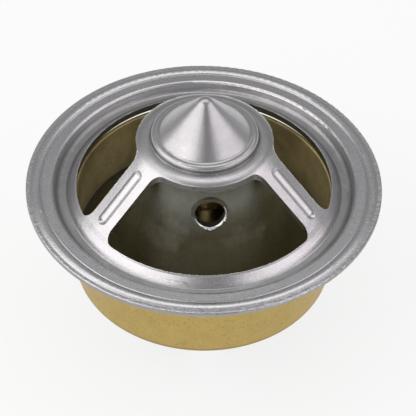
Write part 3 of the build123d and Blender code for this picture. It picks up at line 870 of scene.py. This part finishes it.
def coil_spring_tree():
    """Geometry nodes that wind a spring with closed ends, ground flat."""
    sizes = ("Coil Radius", "Wire Radius", "Bottom", "Top", "Active Turns", "End Pitch", "End Height")
    inputs = {"Seed": "Geometry", **dict.fromkeys(sizes, "Float"), "Metal": "Material"}
    n, given, result = new_group("Coil Spring", "Geometry", inputs, "Spring", "Geometry")
    turns = n.plus(given["Active Turns"], 2.0)
    count = n.total(1.0, (turns, COIL_STEPS))
    line = n.put("GeometryNodeMeshLine", {"Count": count})
    wire = n.put("GeometryNodeMeshToCurve", {"Mesh": line.outputs["Mesh"]})
    index = n.put("GeometryNodeInputIndex").outputs["Index"]
    turned = n.over(index, COIL_STEPS)
    upper_start = n.plus(given["Active Turns"], 1.0)
    lower = n.calc("MINIMUM", turned, 1.0)
    upper = n.most(n.minus(turned, upper_start), 0.0)
    closed_h = n.times(n.plus(lower, upper), given["End Pitch"])
    ends_h = n.times(n.plus(given["End Pitch"], given["End Height"]), 2.0)
    span = n.minus(given["Top"], given["Bottom"])
    active_h = n.minus(span, ends_h)
    active = n.remap(turned, 1.0, upper_start, 0.0, active_h)
    height = n.plus(n.plus(closed_h, active), given["End Height"])
    angle_round = n.times(turned, 2 * math.pi)
    on_coil = n.put("ShaderNodeCombineXYZ", {
        "X": n.times(n.calc("COSINE", angle_round), given["Coil Radius"]),
        "Y": n.times(n.calc("SINE", angle_round), given["Coil Radius"]),
        "Z": n.plus(height, given["Bottom"]),
    }).outputs["Vector"]
    wound = n.put("GeometryNodeSetPosition", {"Geometry": wire.outputs["Curve"], "Position": on_coil})
    section = n.put("GeometryNodeCurvePrimitiveCircle", {"Resolution": WIRE_SIDES})
    n.link(given["Wire Radius"], section.inputs["Radius"])
    rod = n.put("GeometryNodeCurveToMesh", {
        "Curve": wound.outputs["Geometry"], "Profile Curve": section.outputs["Curve"], "Fill Caps": True,
    })
    place = n.put("GeometryNodeInputPosition").outputs["Position"]
    parts = n.put("ShaderNodeSeparateXYZ", {"Vector": place}).outputs
    flat_z = n.put("ShaderNodeClamp", {"Value": parts["Z"], "Min": given["Bottom"], "Max": given["Top"]})
    ground_to = n.put("ShaderNodeCombineXYZ", {
        "X": parts["X"], "Y": parts["Y"], "Z": flat_z.outputs["Result"],
    }).outputs["Vector"]
    ground = n.put("GeometryNodeSetPosition", {"Geometry": rod.outputs["Mesh"], "Position": ground_to})
    finish_mesh(n, ground.outputs["Geometry"], given["Metal"], result)
    return n.tree


def grown(name, mesh, tree, values):
    """Object whose mesh is what the geometry nodes make of the given one, with no modifier left."""
    source = add_object(name + "_source", mesh)
    modifier = source.modifiers.new("Grow", "NODES")
    modifier.node_group = tree
    for item in tree.interface.items_tree:
        if item.item_type == "SOCKET" and item.in_out == "INPUT" and item.name in values:
            modifier[item.identifier] = values[item.name]
    depsgraph = bpy.context.evaluated_depsgraph_get()
    depsgraph.update()
    made = bpy.data.meshes.new_from_object(source.evaluated_get(depsgraph))
    bpy.data.objects.remove(source)
    made.name = name
    return add_object(name, made)


def torn_lip_mesh(sizes):
    """Ragged crest low on the drawn lip, which sinks into the lip over the top of the hole."""
    direction = sizes.hole_angle
    radial = Vector((math.cos(direction), math.sin(direction), 0))
    tangent = Vector((-math.sin(direction), math.cos(direction), 0))
    up = Vector((0, 0, 1))
    mesh = bmesh.new()
    rows = []
    for number in range(LIP_STATIONS):
        turn = 2 * math.pi * number / LIP_STATIONS
        aside, rise = math.cos(turn), math.sin(turn)
        outward = tangent * aside + up * rise
        low = max(0.0, math.cos(turn - sizes.tear_angle) + 0.15) ** 0.6
        ragged = 0.5 + 0.5 * noise.noise(Vector((aside, rise, 0.3)) * 4.5)
        tooth = 0.6 + 0.8 * abs(noise.noise(Vector((aside, rise, 1.7)) * 11.0))
        height = sizes.tear * low * (0.25 + ragged * tooth)
        thick = sizes.tear * (0.10 + 0.60 * low)
        sunk = 0.15 * MM * max(0.0, 1.0 - 3.0 * low)
        row = []
        for step_out, step_up in LIP_STEPS:
            ring_r = sizes.hole_r + thick * step_out
            z = sizes.hole_z + ring_r * rise
            wall_r = sizes.wall_r + (sizes.wall_top_z - z) * math.tan(sizes.wall_tilt)
            side = ring_r * aside
            surface = math.sqrt(wall_r ** 2 - side ** 2)
            lifted = surface + sizes.lip_height - sunk + height * step_up
            lean = outward * (height * max(0.0, step_up) * 0.5)
            row.append(mesh.verts.new(radial * lifted + tangent * side + up * z + lean))
        rows.append(row)
    for number in range(LIP_STATIONS):
        row, after = rows[number], rows[(number + 1) % LIP_STATIONS]
        for place in range(len(row)):
            beyond = (place + 1) % len(row)
            mesh.faces.new((row[place], row[beyond], after[beyond], after[place]))
    bmesh.ops.recalc_face_normals(mesh, faces=mesh.faces)
    made = bpy.data.meshes.new("bleed_lip")
    mesh.to_mesh(made)
    mesh.free()
    return made


# Operators

class THERMOSTAT_OT_frame_finish(bpy.types.Operator):
    """Gives the flange frame its satin steel, and the spider and bridge plain steel"""

    bl_idname = "thermostat.frame_finish"
    bl_label = "Finish Frame"

    def execute(self, context):
        look = context.scene.thermostat.frame
        give(satin_steel("satin_steel", look), "flange_frame")
        give(plain_steel("plain_steel", look), "lower_bridge", "sleeve_spider")
        return {"FINISHED"}


class THERMOSTAT_OT_bell_finish(bpy.types.Operator):
    """Gives the deflector bell its oily drawn steel"""

    bl_idname = "thermostat.bell_finish"
    bl_label = "Finish Bell"

    def execute(self, context):
        give(drawn_steel("drawn_steel", context.scene.thermostat.bell), "deflector_bell")
        return {"FINISHED"}


class THERMOSTAT_OT_sleeve_finish(bpy.types.Operator):
    """Gives the valve sleeve its satin brass"""

    bl_idname = "thermostat.sleeve_finish"
    bl_label = "Finish Sleeve"

    def execute(self, context):
        give(satin_brass("satin_brass", context.scene.thermostat.sleeve), "valve_sleeve")
        return {"FINISHED"}


class THERMOSTAT_OT_works_finish(bpy.types.Operator):
    """Gives the wax element, piston, seal, diaphragm and plug their finishes"""

    bl_idname = "thermostat.works_finish"
    bl_label = "Finish Works"

    def execute(self, context):
        look = context.scene.thermostat.works
        give(turned_metal("spun_copper", look.copper, (0.45, 0.20, 0.11), 0.34), "charge_cup")
        give(turned_metal("turned_brass", look.guide, (0.50, 0.36, 0.15), 0.30), "element_guide")
        give(turned_metal("ground_steel", look.piston, (0.50, 0.50, 0.50), 0.18, 0.12 * MM), "piston")
        rubber = moulded("black_rubber", look.rubber, 0.55, 2.0)
        give(rubber, "bell_seal", "diaphragm", "plunger_plug")
        give(moulded("white_plastic", look.plastic, 0.40, 0.9), "anti_extrusion_disc")
        give(moulded("filled_wax", look.wax, 0.60, 0.7), "wax_charge")
        return {"FINISHED"}


class THERMOSTAT_OT_window_burrs(bpy.types.Operator):
    """Runs the punch's burr along the upper edge of every window"""

    bl_idname = "thermostat.window_burrs"
    bl_label = "Add Window Burrs"

    def execute(self, context):
        sizes = context.scene.thermostat.burrs
        points = []
        edges = []
        for leg in range(sizes.leg_count):
            leg_angle = sizes.leg_start + leg * 2 * math.pi / sizes.leg_count
            outline = window_outline(sizes, leg_angle)
            first = len(points)
            points += [(point.x, point.y, leg_height(sizes, point.length)) for point in outline]
            edges += [(first + i, first + (i + 1) % len(outline)) for i in range(len(outline))]
        outline_mesh = bpy.data.meshes.new("window_outlines")
        outline_mesh.from_pydata(points, edges, [])
        values = {"Bead Radius": sizes.bead, "Bump Size": 0.3 * MM, "Metal": torn_metal("punched_edge")}
        burrs = grown("window_burrs", outline_mesh, punched_edge_tree(), values)
        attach(burrs, "frame")
        return {"FINISHED"}


class THERMOSTAT_OT_bleed_lip(bpy.types.Operator):
    """Tears the lip of the bleed hole"""

    bl_idname = "thermostat.bleed_lip"
    bl_label = "Add Torn Bleed Lip"

    def execute(self, context):
        mesh = torn_lip_mesh(context.scene.thermostat.burrs)
        mesh.materials.append(torn_metal("torn_lip"))
        mesh.shade_smooth()
        lip = add_object("bleed_lip", mesh)
        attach(lip, "frame")
        return {"FINISHED"}


class THERMOSTAT_OT_coil_spring(bpy.types.Operator):
    """Winds the return spring, which the sleeve's travel squeezes"""

    bl_idname = "thermostat.coil_spring"
    bl_label = "Wind Spring"

    def execute(self, context):
        sizes = context.scene.thermostat.spring
        wire = turned_metal(
            "spring_wire", context.scene.thermostat.works.spring, (0.17, 0.17, 0.18), 0.30, 0.6 * MM
        )
        values = {
            "Coil Radius": sizes.coil_r, "Wire Radius": sizes.wire_r, "Bottom": sizes.bottom_z,
            "Top": sizes.top_z, "Active Turns": sizes.active_turns,
            "End Pitch": 2 * sizes.wire_r + sizes.end_gap, "End Height": sizes.wire_r - sizes.grind,
            "Metal": wire,
        }
        spring = grown("coil_spring", bpy.data.meshes.new("spring_seed"), coil_spring_tree(), values)
        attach(spring, "frame")
        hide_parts("return_spring")
        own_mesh(spring)
        return {"FINISHED"}


# Studio

def floor_material(look):
    """Pale floor that shows white to the camera and in reflections, and keeps its shadow."""
    n = new_material("pale_floor")
    shader = n.tree.nodes["Principled BSDF"]
    speckle = n.blotches(30, 0.6)
    dimmer = tuple(value * 0.985 for value in look.floor)
    n.link(n.blend(speckle, look.floor, dimmer), shader.inputs["Base Color"])
    shader.inputs["Roughness"].default_value = 0.9
    shader.inputs["Specular IOR Level"].default_value = 0.0
    glow = n.put("ShaderNodeEmission", {"Color": (1, 1, 1, 1), "Strength": 1.0})
    path = n.put("ShaderNodeLightPath")
    seen = n.most(path.outputs["Is Camera Ray"], path.outputs["Is Glossy Ray"])
    seen = n.most(seen, path.outputs["Is Transmission Ray"])
    mix = n.put("ShaderNodeMixShader", {
        "Fac": n.times(seen, FLOOR_GLOW), 1: shader.outputs["BSDF"], 2: glow.outputs["Emission"],
    })
    n.link(mix.outputs["Shader"], n.tree.nodes["Material Output"].inputs["Surface"])
    return n.material


def studio_world(level):
    """Soft room light from all round, dimmer in front."""
    world = bpy.data.worlds.new("studio_room")
    world.use_nodes = True
    n = Nodes(world.node_tree)
    place = n.put("ShaderNodeTexCoord").outputs["Generated"]
    toward_front = n.vector_calc("DOT_PRODUCT", place, DIM_SIDE, output="Value")
    front = n.remap(toward_front, 0.86, 0.97)
    room = n.blend(front, (level,) * 3, (level * 0.7, level * 0.7, level * 0.71))
    n.link(room, n.tree.nodes["Background"].inputs["Color"])
    return world


def softbox(name, place, width, height, power, tone):
    """Area light that faces the part from a place and stays out of the camera's sight."""
    light = bpy.data.lights.new(name, "AREA")
    light.color = tone
    light.shape = "RECTANGLE"
    light.size = width
    light.size_y = height
    light.energy = power
    lamp = add_object(name, light)
    lamp.location = place
    lamp.rotation_euler = place.to_track_quat("Z", "Y").to_euler()
    lamp.visible_camera = False
    return lamp


def from_part(direction, elevation, distance):
    """Place at a distance from the part, in a direction and elevation in degrees."""
    around, up = math.radians(direction), math.radians(elevation)
    return Vector((math.cos(around) * math.cos(up), math.sin(around) * math.cos(up), math.sin(up))) * distance


class THERMOSTAT_OT_studio(bpy.types.Operator):
    """Builds the floor, room, softboxes and camera"""

    bl_idname = "thermostat.studio"
    bl_label = "Build Studio"

    def execute(self, context):
        look = context.scene.thermostat.studio
        mesh = bpy.data.meshes.new("floor")
        sides = ((-1, -1), (1, -1), (1, 1), (-1, 1))
        corners = [(x * FLOOR_REACH, y * FLOOR_REACH, FLOOR_Z) for x, y in sides]
        mesh.from_pydata(corners, [], [(0, 1, 2, 3)])
        mesh.materials.append(floor_material(look))
        floor = add_object("floor", mesh)
        context.scene.world = studio_world(look.room)
        far = look.softbox_distance
        for name, power, (aim, size, tone) in (
            ("softbox_left", look.left_light, LEFT_BOX), ("softbox_right", look.right_light, RIGHT_BOX),
        ):
            softbox(name, from_part(*aim, far), *size, power, tone)
        place, (width, height), tone = TOP_PANEL
        panel = softbox("top_panel", Vector(place) * far, width * far, height * far, look.top_light, tone)
        panel.rotation_euler = (0, 0, 0)
        camera = bpy.data.cameras.new("camera")
        camera.lens = look.lens
        camera.sensor_width = SENSOR_WIDTH
        camera.clip_start = 0.01
        shot = add_object("camera", camera)
        shot.location = look.camera_place
        shot.rotation_euler = Euler(look.camera_turn)
        context.scene.camera = shot
        context.scene.view_settings.view_transform = "Standard"
        return {"FINISHED"}


class VIEW3D_PT_thermostat(bpy.types.Panel):
    """Lists the finishing steps of the thermostat"""

    bl_label = "Thermostat"
    bl_space_type = "VIEW_3D"
    bl_region_type = "UI"
    bl_category = "Thermostat"

    def draw(self, context):
        for step in STEPS:
            self.layout.operator(step.bl_idname)


STEPS = (
    THERMOSTAT_OT_frame_finish,
    THERMOSTAT_OT_bell_finish,
    THERMOSTAT_OT_sleeve_finish,
    THERMOSTAT_OT_works_finish,
    THERMOSTAT_OT_window_burrs,
    THERMOSTAT_OT_bleed_lip,
    THERMOSTAT_OT_coil_spring,
    THERMOSTAT_OT_studio,
)
CLASSES = (
    FrameLook, BellLook, SleeveLook, WorksLook, BurrSizes, SpringSizes, StudioSettings, ThermostatSettings,
    *STEPS, VIEW3D_PT_thermostat,
)


def register():
    """Registers the settings, operators and panel."""
    for made in CLASSES:
        bpy.utils.register_class(made)
    bpy.types.Scene.thermostat = PointerProperty(type=ThermostatSettings)


def unregister():
    """Removes the settings, operators and panel."""
    del bpy.types.Scene.thermostat
    for made in reversed(CLASSES):
        bpy.utils.unregister_class(made)


def main():
    """Runs every step in order."""
    register()
    bpy.ops.thermostat.frame_finish()
    bpy.ops.thermostat.bell_finish()
    bpy.ops.thermostat.sleeve_finish()
    bpy.ops.thermostat.works_finish()
    bpy.ops.thermostat.window_burrs()
    bpy.ops.thermostat.bleed_lip()
    bpy.ops.thermostat.coil_spring()
    bpy.ops.thermostat.studio()


if __name__ == "__main__":
    main()
